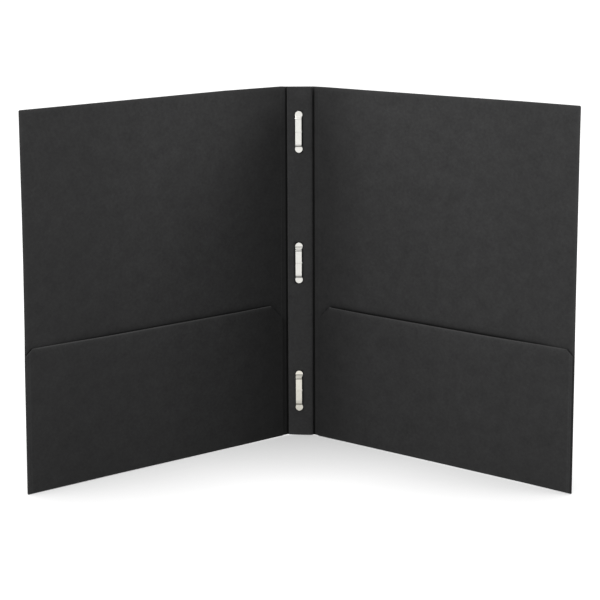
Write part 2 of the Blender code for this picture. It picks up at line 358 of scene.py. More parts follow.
# Board and paper: noise scales per metre, what each noise gives to the tone, and tones from dark to light
CLOUD_SCALE = 90.0
FLECK_SCALE = 420.0
FIBRE_SCALE = 2600.0
STRAND_SCALE = 5200.0
CLOUD_TONE = 0.55
FLECK_TONE = 0.98
FIBRE_TONE = 0.7
BOARD_TONES = ((0.0325, 0.0325, 0.033), (0.0705, 0.0705, 0.071))
LINER_TONES = ((0.0285, 0.0285, 0.029), (0.0595, 0.0595, 0.060))
FRESH_EDGE_TONES = ((0.024, 0.024, 0.0245), (0.046, 0.046, 0.0465))
# Edge tones where worn and painted with highlight, the face colour of wear and painted highlight, the painted
# crease shade of faces and edges, and black for the painted shade
WORN_AND_LIT_EDGE_TONES = ((0.045, 0.045, 0.045), (0.105, 0.105, 0.105))
WEAR_AND_HIGHLIGHT_PAPER = (0.115, 0.115, 0.115)
CREASE_PAINTED_SHADE = (0.0015, 0.0015, 0.0015)
CREASE_EDGE_PAINTED_SHADE = (0.002, 0.002, 0.002)
BLACK = (0.0, 0.0, 0.0)

# Plated metal: noise scales per metre, and its tones where it is clean and where it is tarnished
ROLLING_SCALE = 3200.0
METAL_CLOUD_SCALE = 520.0
CLEAN_METAL_TONES = ((0.75, 0.74, 0.70), (0.85, 0.84, 0.80))
TARNISHED_METAL_TONES = ((0.765, 0.73, 0.63), (0.865, 0.83, 0.73))
# Colour of the painted shade lines on a prong
BEND_PAINTED_SHADE = (0.03, 0.03, 0.03)

# Camera: the photograph is a square frame
CAMERA_X = 0.007014
CAMERA_FROM_SPINE = 1.388641
CAMERA_Z = 0.43196
CAMERA_PITCH = math.radians(10.3981)
CAMERA_YAW = math.radians(-0.3012)
CAMERA_ROLL = math.radians(-0.2313)
CAMERA_LENS = 103.787
CAMERA_SENSOR = 36
CAMERA_SHIFT_Y = -0.125
CAMERA_FAR = 100

# Studio: the folder stands on its covers' outer corners, on a floor that glows less where it is shaded
FLOOR_Z = -0.00095
FLOOR_HALF = 12.0
FLOOR_COLOUR = (0.4, 0.4, 0.4, 1)
FLOOR_GLOW = 0.86
FLOOR_SHADE_REACH = 0.13
FLOOR_DEEPEST_SHADE = (0.22, 0.22, 0.22)
FLOOR_BOUNCE = (0.34, 0.34, 0.34, 1)
WHITE = (1.0, 1.0, 1.0)
TENT_LEVEL = 0.40
TENT_LEVEL_BEHIND = 1.43
LAMP_TARGET = Vector((0, 0, 0.12))


class Link:
    """An output socket of a node. Arithmetic on it adds Math nodes to the same tree."""

    def __init__(self, nodes, socket):
        self.nodes = nodes
        self.socket = socket

    def out(self, name):
        return Link(self.nodes, self.socket.node.outputs[name])

    def maths(self, operation, *values):
        return self.nodes.add("ShaderNodeMath", {"operation": operation}, dict(enumerate(values)))

    def __add__(self, other):
        return self.maths("ADD", self, other)

    __radd__ = __add__

    def __sub__(self, other):
        return self.maths("SUBTRACT", self, other)

    def __rsub__(self, other):
        return self.maths("SUBTRACT", other, self)

    def __mul__(self, other):
        return self.maths("MULTIPLY", self, other)

    __rmul__ = __mul__

    def __truediv__(self, other):
        return self.maths("DIVIDE", self, other)

    def __pow__(self, other):
        return self.maths("POWER", self, other)

    def sine(self):
        return self.maths("SINE", self)

    def cosine(self):
        return self.maths("COSINE", self)

    def root(self):
        return self.maths("SQRT", self)

    def size(self):
        return self.maths("ABSOLUTE", self)

    def sign(self):
        return self.maths("SIGN", self)

    def at_least(self, other):
        return self.maths("MAXIMUM", self, other)

    def above(self, other):
        return self.maths("GREATER_THAN", self, other)

    def clamped(self):
        return self.nodes.add("ShaderNodeClamp", {}, {"Value": self, "Min": 0.0, "Max": 1.0})


class Nodes:
    """Adds nodes to one tree, for a material, a world or a shape."""

    def __init__(self, tree):
        self.tree = tree

    def add(self, kind, settings=None, values=None):
        """Makes a node, sets its settings, then its sockets' values or links, and gives its first output."""
        node = self.tree.nodes.new(kind)
        for name, value in (settings or {}).items():
            setattr(node, name, value)
        for key, value in (values or {}).items():
            self.plug(node.inputs[key], value)
        return Link(self, node.outputs[0]) if node.outputs else node

    def plug(self, socket, value):
        if isinstance(value, Link):
            self.tree.links.new(value.socket, socket)
        else:
            socket.default_value = value

    def place(self):
        return self.add("ShaderNodeTexCoord").out("Object")

    def mark(self, name):
        return self.add("ShaderNodeAttribute", {"attribute_name": name}).out("Fac")

    def stretched(self, scale, turn=0.0):
        """The place on the piece, scaled for a pattern with a grain, which is turned about the Y axis."""
        values = {"Vector": self.place(), "Rotation": (0.0, turn, 0.0), "Scale": scale}
        return self.add("ShaderNodeMapping", {}, values)

    def noise(self, vector, scale, detail=3.0, roughness=0.5):
        values = {"Vector": vector, "Scale": scale, "Detail": detail, "Roughness": roughness}
        return self.add("ShaderNodeTexNoise", {}, values)

    def mix(self, factor, first, second):
        """A mix of two colours, each a link or a colour, through the node's colour sockets."""
        first, second = (value if isinstance(value, Link) else (*value, 1) for value in (first, second))
        return self.add("ShaderNodeMix", {"data_type": "RGBA"}, {0: factor, 6: first, 7: second}).out(2)

    def bump(self, height, strength, distance):
        values = {"Strength": strength, "Distance": distance, "Height": height}
        return self.add("ShaderNodeBump", {}, values)


def new_material(name):
    """A material with a bare Principled shader; gives the material, its nodes and the shader."""
    material = bpy.data.materials.new(name)
    material.use_nodes = True
    nodes = Nodes(material.node_tree)
    shader = material.node_tree.nodes["Principled BSDF"]
    return material, nodes, shader


def set_shader(nodes, shader, values):
    """Links or sets each named socket of the shader."""
    for name, value in values.items():
        nodes.plug(shader.inputs[name], value)


def in_scene(name, data):
    """A new object of the scene that shows this data."""
    thing = bpy.data.objects.new(name, data)
    bpy.context.scene.collection.objects.link(thing)
    return thing


def paper(name, tones, grain_turn):
    """Dyed solid board: cloudy tone, fine fibres, with painted shade over its faces and in its folds, and
    paler where it is worn and painted with highlight.
    """
    material, nodes, shader = new_material(name)
    turned = nodes.stretched((1.0, 1.0, 1.1), grain_turn)
    clouds = nodes.noise(turned, CLOUD_SCALE, detail=2.0)
    flecks = nodes.noise(turned, FLECK_SCALE, detail=4.0, roughness=0.6)
    fibres = nodes.noise(nodes.stretched((1.0, 1.0, 0.8)), FIBRE_SCALE, roughness=0.65)
    tone = 0.5 + CLOUD_TONE * (clouds - 0.5) + FLECK_TONE * (flecks - 0.5) + FIBRE_TONE * (fibres - 0.5)
    colour = nodes.mix(tone.clamped(), *tones)
    # Painted shade, then wear with painted highlight, then painted crease shade
    colour = nodes.mix(nodes.mark("shade"), colour, BLACK)
    colour = nodes.mix(nodes.mark("wear_and_highlight") * (0.35 + 0.9 * (fibres - 0.5)), colour, WEAR_AND_HIGHLIGHT_PAPER)
    colour = nodes.mix(nodes.mark("crease"), colour, CREASE_PAINTED_SHADE)
    values = {
        "Base Color": colour,
        "Roughness": 0.72 + 0.2 * flecks,
        "Normal": nodes.bump(0.6 * fibres + 0.8 * flecks, strength=0.35, distance=0.00012),
        "Specular IOR Level": 0.15,
    }
    set_shader(nodes, shader, values)
    return material


def cut_edge(name):
    """The sheared edge of the board, a little paler than its faces, with torn fibres along it."""
    material, nodes, shader = new_material(name)
    strands = nodes.noise(nodes.place(), STRAND_SCALE, detail=4.0, roughness=0.7)
    torn = (1.8 * (strands - 0.5) + 0.5).clamped()
    fresh = nodes.mix(torn, *FRESH_EDGE_TONES)
    worn_and_lit = nodes.mix(torn, *WORN_AND_LIT_EDGE_TONES)
    # The edge is paler where worn and painted with highlight, and darkened by painted crease shade in the
    # folds
    colour = nodes.mix(nodes.mark("wear_and_highlight").clamped(), fresh, worn_and_lit)
    values = {
        "Base Color": nodes.mix(nodes.mark("crease"), colour, CREASE_EDGE_PAINTED_SHADE),
        "Roughness": 0.82 + 0.12 * strands,
        "Normal": nodes.bump(strands, strength=0.5, distance=0.00006),
        "Specular IOR Level": 0.2,
    }
    set_shader(nodes, shader, values)
    return material


def nickel(name):
    """Plated strip: satin, with fine rolling marks along its length and faint handling marks."""
    material, nodes, shader = new_material(name)
    rolling = nodes.noise(nodes.stretched((1.0, 1.0, 0.02)), ROLLING_SCALE, roughness=0.6)
    clouds = nodes.noise(nodes.place(), METAL_CLOUD_SCALE, detail=2.0)
    streaks = (0.5 + 1.2 * (rolling - 0.5) + 1.4 * (clouds - 0.5)).clamped()
    clean = nodes.mix(streaks, *CLEAN_METAL_TONES)
    tarnished = nodes.mix(streaks, *TARNISHED_METAL_TONES)
    colour = nodes.mix(nodes.mark("warmth"), clean, tarnished)
    # Each fastener's plating is darkened by its own share
    colour = nodes.mix(nodes.mark("darkened"), colour, BLACK)
    # Painted shade lines at the prong's bends and risers darken the plating
    values = {
        "Base Color": nodes.mix(nodes.mark("bend_painted_shade").clamped(), colour, BEND_PAINTED_SHADE),
        "Roughness": 0.24 + 0.16 * clouds,
        "Normal": nodes.bump(rolling, strength=0.25, distance=0.00003),
        "Metallic": 1.0,
    }
    set_shader(nodes, shader, values)
    return material


def seen_directly(nodes):
    """1 for rays that show the background itself: camera, glossy and transmission rays."""
    path = nodes.add("ShaderNodeLightPath")
    kinds = [path.out(f"Is {kind} Ray") for kind in ("Camera", "Glossy", "Transmission")]
    return (kinds[0] + kinds[1] + kinds[2]).clamped()


# Sheet building


def between(low, high, steps):
    """Values from low to high, both included."""
    return [low + (high - low) * i / steps for i in range(steps + 1)]


def in_runs(runs):
    """The values of all runs of (from, to, steps), one run after the other."""
    return [value for run in runs for value in between(*run)]


def merged(*runs):
    """The runs' values in order, without near repeats."""
    values = []
    for value in sorted(v for run in runs for v in run):
        if not values or value - values[-1] > NEAR:
            values.append(value)
    return values


def hump(distance, half_width):
    """A smooth bump: 1 at no distance, 0 from half_width outwards."""
    share = min(abs(distance) / half_width, 1)
    return 0.5 + 0.5 * math.cos(math.pi * share)


def eased(share):
    """A smooth step: 0 up to a share of 0, 1 from a share of 1."""
    share = min(max(share, 0), 1)
    return share * share * (3 - 2 * share)


def on_line(knots, share):
    """The value at a share along a run of (share, value) knots."""
    for (first, low), (second, high) in zip(knots, knots[1:]):
        if share <= second:
            return low + (high - low) * max(share - first, 0) / (second - first)
    return knots[-1][1]


def edge_share(distance):
    """The share of the board's thickness left at a distance from a cut edge."""
    if distance >= EDGE_SOFT:
        return 1
    inward = 1 - max(distance, 0) / EDGE_SOFT
    return EDGE_SHARE + (1 - EDGE_SHARE) * math.sqrt(1 - inward * inward)


class Sheet:
    """A closed shell laid up from points on a board's middle surface and the quads between them."""

    def __init__(self):
        self.front = []
        self.back = []
        self.marks = {"crease": [], "wear_and_highlight": [], "shade": []}
        self.faces = []

    def point(self, middle, normal, front, back, crease=0.0, wear_and_highlight=0.0, shade=0.0):
        self.front.append(middle + normal * front)
        self.back.append(middle - normal * back)
        self.marks["crease"].append(crease)
        self.marks["wear_and_highlight"].append(wear_and_highlight)
        self.marks["shade"].append(shade)
        return len(self.front) - 1

    def join(self, columns, shared=0):
        """Quads between neighbouring columns, over their shared points only where their lengths differ."""
        for first, second in zip(columns, columns[1:]):
            count = len(first) if len(first) == len(second) else shared
            for i in range(count - 1):
                self.faces.append((first[i], first[i + 1], second[i + 1], second[i]))

    def build(self, name, face_material, rim_material, mirrored=False):
        count = len(self.front)
        front = [tuple(reversed(f)) for f in self.faces] if mirrored else list(self.faces)
        back = [tuple(i + count for i in reversed(f)) for f in front]
        edges = dict.fromkeys(edge for face in front for edge in zip(face, face[1:] + face[:1]))
        rim = [(b, a, a + count, b + count) for a, b in edges if (b, a) not in edges]
        mesh = bpy.data.meshes.new(name)
        mesh.from_pydata(self.front + self.back, [], front + back + rim)
        mesh.materials.append(face_material)
        mesh.materials.append(rim_material)
        is_rim = [0] * (len(front) + len(back)) + [1] * len(rim)
        mesh.polygons.foreach_set("material_index", is_rim)
        for mark, values in self.marks.items():
            layer = mesh.attributes.new(mark, "FLOAT", "POINT")
            back_values = [BACK_MARK_SHARE[mark] * value + BACK_MARK_LEVEL[mark] for value in values]
            layer.data.foreach_set("value", values + back_values)
        mesh.validate()
        mesh.shade_smooth()
        mesh.set_sharp_from_angle(angle=SHEET_SHARP_ANGLE)
        return in_scene(name, mesh)


def cover_directions(side):
    """A cover's direction away from its fold, its inward normal and its fold's foot."""
    along = Vector((side * math.sin(SWING), -math.cos(SWING), 0))
    inward = Vector((-side * math.cos(SWING), -math.sin(SWING), 0))
    foot = Vector((side * FOLD_X, FOLD_Y, 0))
    return along, inward, foot


def board_line(side, s):
    """The board's middle and inward normal at distance s from the fold; s below 0 lies on the spine."""
    along, inward, foot = cover_directions(side)
    reach = FOLD_ROUND * math.tan(BEND / 2)
    if s <= -reach:
        return foot + Vector((side * s, 0, 0)), Vector((0, -1, 0))
    if s >= reach:
        return foot + along * s, inward
    turn = BEND * (s + reach) / (2 * reach)
    outward = Vector((side * math.sin(turn), math.cos(turn), 0))
    centre = Vector((side * (FOLD_X - reach), FOLD_Y - FOLD_ROUND, 0))
    return centre + outward * FOLD_ROUND, -outward


def twist(side, u, z):
    """How far the cover stands in from its flat plane at distance u from the fold and height z."""
    if side > 0 or u <= 0:
        return 0
    return LEFT_TWIST * u / COVER_WIDTH * (2 * z / HEIGHT - 1)


def crease_painted_shade(side, s):
    """How much painted shade the fold's valley has at distance s from the fold."""
    return 1 - eased((s - CREASE_DARK_TO) / (CREASE_FADES_TO[side] - CREASE_DARK_TO))


def seam_start(side, below_top):
    """How much of the fold's painted dark line there is at a distance below the top edge, where it fades out.
    """
    return 1 - SEAM_TOP_PALE[side] * (1 - eased(below_top / SEAM_TOP_REACH))


def board_painted_shade(side, u, z, depth, extra=0.0, painted_light=0.0):
    """How much painted shade the board has at distance u from the fold and height z, less any painted light.
    """
    near_fold = depth * (1 - eased(u / FOLD_SHADE_REACH[side]))
    outer = OUTER_SHADE_DEPTH[side] * eased((u / COVER_WIDTH - OUTER_SHADE_FROM[side]) / OUTER_SHADE_RUN[side])
    foot = FOOT_SHADE_DEPTH * (1 - z / HEIGHT)
    return 1 - (1 - near_fold) * (1 - outer) * (1 - foot) * (1 - extra) * (1 + painted_light)


def mouth_painted_shade(side, u, z):
    """How much painted shade the cover has behind its pocket's mouth and just above it."""
    if u < POCKET_INNER[side]:
        return 0
    top = pocket_top(side, u)
    above = max(z - top + MOUTH_LINE_BELOW, 0)
    outer_fade = eased((u / COVER_WIDTH - MOUTH_OUTER_FADE_FROM) / MOUTH_OUTER_FADE_RUN)
    across = eased((u - POCKET_INNER[side]) / MOUTH_INNER_FADE) * (1 - MOUTH_OUTER_FADE * outer_fade)
    line = MOUTH_LINE_DARK[side] * hump(above, MOUTH_LINE_REACH[side])
    cloud = MOUTH_DARK[side] * (1 - min(above / MOUTH_DARK_REACH, 1)) ** MOUTH_DARK_POWER
    inside = 1 - eased((top - z - MOUTH_DARK_INSIDE / 3) / MOUTH_DARK_INSIDE)
    past_corner = u - COVER_WIDTH + POCKET_OUTER_CHAMFER[side]
    corner = CORNER_DARK[side] * eased(0.5 + past_corner / MARK_BORDER)
    return inside * (max(across, corner) * line + across * cloud)


def outer_run(side, u, z):
    """How much further out the cover's outer edge runs at height z, fading inwards."""
    inwards = (COVER_WIDTH - u) / OUTER_RUN_WIDTH
    return on_line(OUTER_RUN[side], z / HEIGHT) * (1 - eased(inwards))


def foot_drop(side, u, z):
    """How much lower a point at distance u from the fold sits near the foot."""
    share = max(1 - z / FOOT_DROP_HEIGHT, 0)
    return on_line(FOOT_DROP[side], max(u, 0) / COVER_WIDTH) * share


def spine_foot_drop(x, z):
    """How much lower a point of the spine sits near the foot: level with each cover at its fold."""
    share = 0.5 + 0.5 * x / FOLD_X
    return (1 - share) * foot_drop(-1, 0, z) + share * foot_drop(1, 0, z)


def cover_top(side, s):
    """The height of the cover's top edge, with its corner rounded, at distance s from the fold."""
    top = HEIGHT + on_line(TOP_RISE[side], max(s, 0) / COVER_WIDTH)
    corner = s - (COVER_WIDTH - COVER_CORNER_RADIUS)
    if corner <= 0:
        return top
    return top - COVER_CORNER_RADIUS + math.sqrt(max(COVER_CORNER_RADIUS**2 - corner**2, 0))


def cover_columns(notch_start, notch_end):
    """Distances from the fold for a cover's columns of points, none of them inside the pocket's notch."""
    rounding = [COVER_CORNER_RADIUS * (math.sin(t) - 1) for t in between(0, math.pi / 2, CORNER_STEPS)]
    columns = merged(
        in_runs(COVER_COLUMNS),
        [notch_start],
        [notch_end + step for step in EDGE_STEPS],
        [COVER_WIDTH + inwards for inwards in rounding],
        [COVER_WIDTH - step for step in EDGE_STEPS],
    )
    beside = 2 * NEAR
    kept = [s for s in columns if s <= notch_start - beside or s >= notch_end - beside]
    return sorted(kept + [notch_start])


def cover(side, name, board, edge):
    """One cover's board: from the seam on the spine, over the fold, to the outer edge, and under its foot
    to where the pocket's face starts."""
    sheet = Sheet()
    notch = (POCKET_INNER[side] - POCKET_NOTCH, POCKET_INNER[side])
    rows = TOP_ROWS + in_runs(COVER_ROWS) + COVER_FOOT_ROWS
    flat_rows = COVER_FLAT_FOOT_ROWS + FOOT_ROWS
    turns = between(0, math.pi, FOOT_TURN_STEPS)[1:]
    columns = []
    along, inward, foot = cover_directions(side)
    for s in cover_columns(*notch):
        middle, normal = board_line(side, s)
        groove = hump(s, GROOVE_HALF_WIDTH)
        bead = hump(s - SCORE_FROM_FOLD, SCORE_HALF_WIDTH)
        front = BOARD / 2 - GROOVE_DEPTH * groove + SCORE_BEAD * bead
        back = BOARD / 2 + OUTER_BEAD * groove - SCORE_OUTER_GROOVE * bead
        crease = crease_painted_shade(side, s)
        top = cover_top(side, s)
        column = []
        for z in rows:
            height = z - (HEIGHT - top) * eased(z / HEIGHT)
            gap = min(top - height, COVER_WIDTH - s)
            share = edge_share(gap)
            # Wear and painted highlight at the rims, and a painted highlight on the score's bead
            wear_and_highlight = max(hump(gap, RIM_WEAR_AND_HIGHLIGHT), RIM_HIGHLIGHT_SHARE * hump(gap, RIM_HIGHLIGHT_REACH), SCORE_PAINTED_HIGHLIGHT * bead)
            # Painted shade over the face, with more behind the pocket's mouth
            shade = board_painted_shade(side, s, height, FOLD_SHADE_DEPTH, mouth_painted_shade(side, s, height))
            spot = middle + UPRIGHT * (height - foot_drop(side, s, height))
            spot += inward * twist(side, s, height) + along * outer_run(side, s, height)
            # Painted crease shade in the fold, fading out towards the top
            dark = crease * seam_start(side, top - height)
            column.append(sheet.point(spot, normal, front * share, back * share, dark, wear_and_highlight, shade))
        if s <= notch[0] + NEAR:
            for z in flat_rows:
                share = edge_share(z)
                spot = middle + UPRIGHT * (z - foot_drop(side, s, z)) + inward * twist(side, s, z)
                shade = board_painted_shade(side, s, z, FOLD_SHADE_DEPTH)
                column.append(sheet.point(spot, normal, front * share, back * share, crease, 0, shade))
        else:
            half = BOARD / 2 * edge_share(min(s - notch[1], COVER_WIDTH - s))
            base = foot + along * (s + outer_run(side, s, 0)) + inward * twist(side, s, FOLD_TURN_Z)
            base -= UPRIGHT * foot_drop(side, s, FOLD_TURN_Z)
            centre = base + inward * FOLD_TURN_RADIUS + UPRIGHT * FOLD_TURN_Z
            shade = board_painted_shade(side, s, 0, FOLD_SHADE_DEPTH)
            for turn in turns:
                lean = inward * math.cos(turn) + UPRIGHT * math.sin(turn)
                wear_and_highlight = FOOT_WEAR * hump(turn - math.pi * 0.75, math.pi / 4)
                spot = centre - lean * FOLD_TURN_RADIUS
                column.append(sheet.point(spot, lean, half, half, 0, wear_and_highlight, shade))
        columns.append(column)
    sheet.join(columns, shared=len(rows))
    return sheet.build(name, board, edge, mirrored=side < 0)


def pocket_gape(u, z):
    """How far the pocket's face stands off its glued level, where it gapes towards its mouth's middle."""
    opens = eased((u - GAPE_OPENS_FROM) / (GAPE_OPEN_AT - GAPE_OPENS_FROM))
    closes = eased((GAPE_CLOSED_AT - u) / (GAPE_CLOSED_AT - GAPE_CLOSES_FROM))
    return POCKET_GAPE * opens * closes * max(z / POCKET_HEIGHT, 0) ** POCKET_GAPE_POWER


def pocket_top(side, u):
    """The height of the pocket's mouth, with both cut corners, at distance u from the fold."""
    share = u / COVER_WIDTH
    mouth = POCKET_HEIGHT + MOUTH_RISE_INNER[side] * (1 - share) + MOUTH_RISE_OUTER[side] * share
    outer = max(u - (COVER_WIDTH - POCKET_OUTER_CHAMFER[side]), 0)
    inner = max(POCKET_INNER[side] + POCKET_INNER_CHAMFER - u, 0)
    return mouth - outer - inner


def on_mouth(side, u):
    """1 along the mouth's straight edge, less on its outer cut corner and nothing on its inner one."""
    from_inner = u - (POCKET_INNER[side] + POCKET_INNER_CHAMFER)
    from_outer = COVER_WIDTH - POCKET_OUTER_CHAMFER[side] - u
    on_corner = CORNER_LIP_SHARE * (1 - eased(0.5 + from_outer / MARK_BORDER))
    return max(eased(0.5 + min(from_inner, from_outer) / MARK_BORDER), on_corner)


def pocket_path(side):
    """The pocket's columns: (distance along the cover, level, lean, top). lean is the normal's direction,
    0 on the face, which comes first, then turning in the outer fold, and pi on the glue tab."""
    face_end = COVER_WIDTH - TAB_TURN_RADIUS - BOARD / 2
    start = POCKET_INNER[side]
    corner = start + POCKET_INNER_CHAMFER
    outer_corner = COVER_WIDTH - POCKET_OUTER_CHAMFER[side]
    crease = COVER_WIDTH - POCKET_EDGE_CREASE
    runs = (
        (start + POCKET_CORNER_COLUMN, corner, 8),
        (corner, outer_corner, 46),
        (crease - POCKET_CREASE_HALF_WIDTH, crease + POCKET_CREASE_HALF_WIDTH, 8),
        (outer_corner, COVER_WIDTH - POCKET_COLUMNS_TO_TURN, 7),
        (COVER_WIDTH - POCKET_TURN_FROM, face_end, 4),
    )
    beside_corner = [corner - POCKET_CORNER_COLUMN, corner + POCKET_CORNER_COLUMN]
    us = merged([start + step for step in EDGE_STEPS], beside_corner, in_runs(runs))
    path = [(u, POCKET_LEVEL, 0.0, pocket_top(side, u)) for u in us]
    outer_top = pocket_top(side, COVER_WIDTH)
    for turn in between(0, math.pi, POCKET_TURN_STEPS)[1:-1]:
        u = face_end + TAB_TURN_RADIUS * math.sin(turn)
        level = POCKET_LEVEL - TAB_TURN_RADIUS * (1 - math.cos(turn))
        path.append((u, level, turn, max(pocket_top(side, u), outer_top)))
    inner = COVER_WIDTH - TAB_WIDTH
    tab_us = merged(between(inner, face_end, TAB_STEPS), [inner + step for step in EDGE_STEPS])
    for u in reversed(tab_us):
        top = outer_top - TAB_DROP - TAB_SLOPE * (face_end - u) / (face_end - inner)
        path.append((u, TAB_LEVEL, math.pi, top))
    return path


def pocket(side, name, board, edge):
    """A pocket's face with its outer fold and the glue tab tucked behind it, as one board."""
    sheet = Sheet()
    along, inward, foot = cover_directions(side)
    row_shares = list(reversed(between(*POCKET_ROWS)))
    columns = []
    for u, level, lean, top in pocket_path(side):
        normal = inward * math.cos(lean) + along * math.sin(lean)
        on_face = lean == 0
        on_tab = lean == math.pi
        side_gap = EDGE_SOFT
        if on_face:
            side_gap = u - POCKET_INNER[side]
        if on_tab:
            side_gap = u - (COVER_WIDTH - TAB_WIDTH)
        from_edge = COVER_WIDTH - u
        groove = hump(from_edge - POCKET_EDGE_CREASE, POCKET_CREASE_HALF_WIDTH) if on_face else 0
        worn_and_lit = on_mouth(side, u) if on_face else 0
        middle_share = hump(u / COVER_WIDTH - MOUTH_MIDDLE, MOUTH_MIDDLE_SPREAD)
        lip_wear_and_highlight = LIP_WEAR_AND_HIGHLIGHT[side] * (LIP_MARK_ENDS + (1 - LIP_MARK_ENDS) * middle_share)
        past_strip = 0 if on_tab else eased((OUTER_STRIP_WIDTH - from_edge) / MARK_BORDER)
        turned = 0 if on_tab else eased(2 - 2 * from_edge / POCKET_TURN_FROM)
        stand_out = POCKET_EDGE_STAND[side] * eased(1 - from_edge / POCKET_EDGE_STAND_WIDTH)
        rows = [top - step for step in POCKET_TOP_STEPS]
        rows += [FOLD_TURN_Z + (top - POCKET_ROWS_FROM_TOP - FOLD_TURN_Z) * share for share in row_shares]
        column = []
        for z in rows:
            gape = pocket_gape(u, z) if on_face else 0
            below = top - z
            lip = max(1 - below / POCKET_LIP, 0) * worn_and_lit
            stand = level + gape - POCKET_LIP_CURL * lip * lip + twist(side, u, z)
            aside = stand_out + outer_run(side, u, z)
            middle = foot + along * (u + aside) + inward * stand + UPRIGHT * (z - foot_drop(side, u, z))
            share = edge_share(min(below, side_gap))
            front = (BOARD / 2 - POCKET_CREASE_DEPTH * groove) * share
            # Wear and painted highlight along the lip; painted light below the mouth and on the outer strip
            wear_and_highlight = max(lip_wear_and_highlight * hump(below, LIP_MARK_WIDTH), LIP_HIGHLIGHT_SHARE * hump(below, LIP_HIGHLIGHT_REACH))
            painted_light = MOUTH_PAINTED_LIGHT * hump(below, MOUTH_PAINTED_LIGHT_REACH) * middle_share + OUTER_STRIP_PAINTED_LIGHT * past_strip
            shade = board_painted_shade(side, u, z, POCKET_FOLD_SHADE_DEPTH, POCKET_TURN_PAINTED_SHADE[side] * turned, painted_light)
            marks = (POCKET_CREASE_DARK * groove, wear_and_highlight * worn_and_lit, shade)
            column.append(sheet.point(middle, normal, front, BOARD / 2 * share, *marks))
        columns.append(column)
    sheet.join(columns)
    return sheet.build(name, board, edge, mirrored=side < 0)


def spine_board(name, board, edge):
    """The spine's outer board, between the seams beside the two folds."""
    sheet = Sheet()
    half = FOLD_X - SEAM_FROM_FOLD
    rows = TOP_ROWS + between(*SPINE_ROWS) + FOOT_ROWS
    columns = []
    for x in between(-half, half, SPINE_COLUMN_STEPS):
        # Painted crease shade along the spine's edges, beside the folds
        dark = eased((abs(x) - SPINE_DARK_FROM) / MARK_BORDER)
        column = []
        for z in rows:
            thick = BOARD / 2 * min(edge_share(HEIGHT - z), edge_share(z))
            wear_and_highlight = hump(min(HEIGHT - z, z), SPINE_RIM_WEAR_AND_HIGHLIGHT)
            crease = dark * seam_start(1 if x > 0 else -1, HEIGHT - z)
            middle = Vector((x, FOLD_Y, z - spine_foot_drop(x, z)))
            column.append(sheet.point(middle, Vector((0, -1, 0)), thick, thick, crease, wear_and_highlight))
        columns.append(column)
    sheet.join(columns)
    return sheet.build(name, board, edge)


def liner_front(x):
    """The liner's front level across the spine: low at both edges, crowned over the fasteners."""
    from_left = x - LINER_LEFT_X
    from_right = LINER_RIGHT_X - x
    full = LINER_FRONT - LINER_EDGE_FRONT
    left = 1 - math.exp(-from_left / LINER_LEFT_RISE)
    right = 1 - math.exp(-from_right / LINER_RIGHT_RISE)
    shoulder = max(1 - min(from_left, from_right) / LINER_SHOULDER, 0)
    return LINER_EDGE_FRONT + full * min(left, 1) * min(right, 1) - LINER_SHOULDER_DROP * shoulder * shoulder


def strip_shade(x, z):
    """How much painted shadow the liner has beside the strips."""
    for place, middle_z in FASTENER_Z.items():
        beyond = abs(z - middle_z) - PRONG_REACH
        if beyond > STRIP_SHADE_END:
            continue
        centre = FASTENER_X + FASTENER_DRIFT[place] + ARM_SHIFT
        off_right = max(x - centre - PRONG_WIDTH / 2, 0) / STRIP_SHADE_REACH_RIGHT
        off_left = max(centre - PRONG_WIDTH / 2 - x, 0) / STRIP_SHADE_REACH_LEFT
        right = STRIP_SHADE_RIGHT * (1 - off_right) if x > centre else 0
        left = STRIP_SHADE_LEFT[place] * (1 - off_left) if x < centre else 0
        return max(right, left, 0) * (1 - max(beyond, 0) / STRIP_SHADE_END)
    return 0


def spine_liner(name, liner, edge):
    """The strip inside the spine, crowned over the fastener bases, with a slit for each pair of prongs."""
    sheet = Sheet()
    slits = [(z - SLIT_HALF_HEIGHT, z + SLIT_HALF_HEIGHT) for z in FASTENER_Z.values()]
    xs = merged(in_runs(LINER_COLUMNS))
    from_slit = (PRONG_REACH, PRONG_REACH + STRIP_SHADE_END)
    rows = merged(
        FOOT_ROWS,
        TOP_ROWS,
        between(*LINER_ROWS),
        [z for slit in slits for z in slit],
        [z + turn * reach for z in FASTENER_Z.values() for turn in (-1, 1) for reach in from_slit],
    )
    columns = []
    for x in xs:
        slope = (liner_front(x + SLOPE_STEP) - liner_front(x - SLOPE_STEP)) / (2 * SLOPE_STEP)
        normal = Vector((-slope, -1, 0)).normalized()
        side_gap = min(x - LINER_LEFT_X, LINER_RIGHT_X - x)
        column = []
        for z in rows:
            gap = min(HEIGHT - z, z, side_gap)
            half = LINER_PAPER / 2 * edge_share(gap)
            middle = Vector((x, FOLD_Y - liner_front(x) + LINER_PAPER / 2, z - spine_foot_drop(x, z)))
            wear_and_highlight = hump(gap, LINER_RIM_WEAR_AND_HIGHLIGHT)
            column.append(sheet.point(middle, normal, half, half, 0, wear_and_highlight, strip_shade(x, z)))
        columns.append(column)
    for j, (first, second) in enumerate(zip(columns, columns[1:])):
        in_slit_x = SLIT_LEFT - NEAR < xs[j] and xs[j + 1] < SLIT_RIGHT + NEAR
        for i in range(len(rows) - 1):
            in_slit_z = any(low - NEAR < rows[i] and rows[i + 1] < high + NEAR for low, high in slits)
            if not (in_slit_x and in_slit_z):
                sheet.faces.append((first[i + 1], first[i], second[i], second[i + 1]))
    return sheet.build(name, liner, edge)


# Fastener shapes, as Geometry Nodes


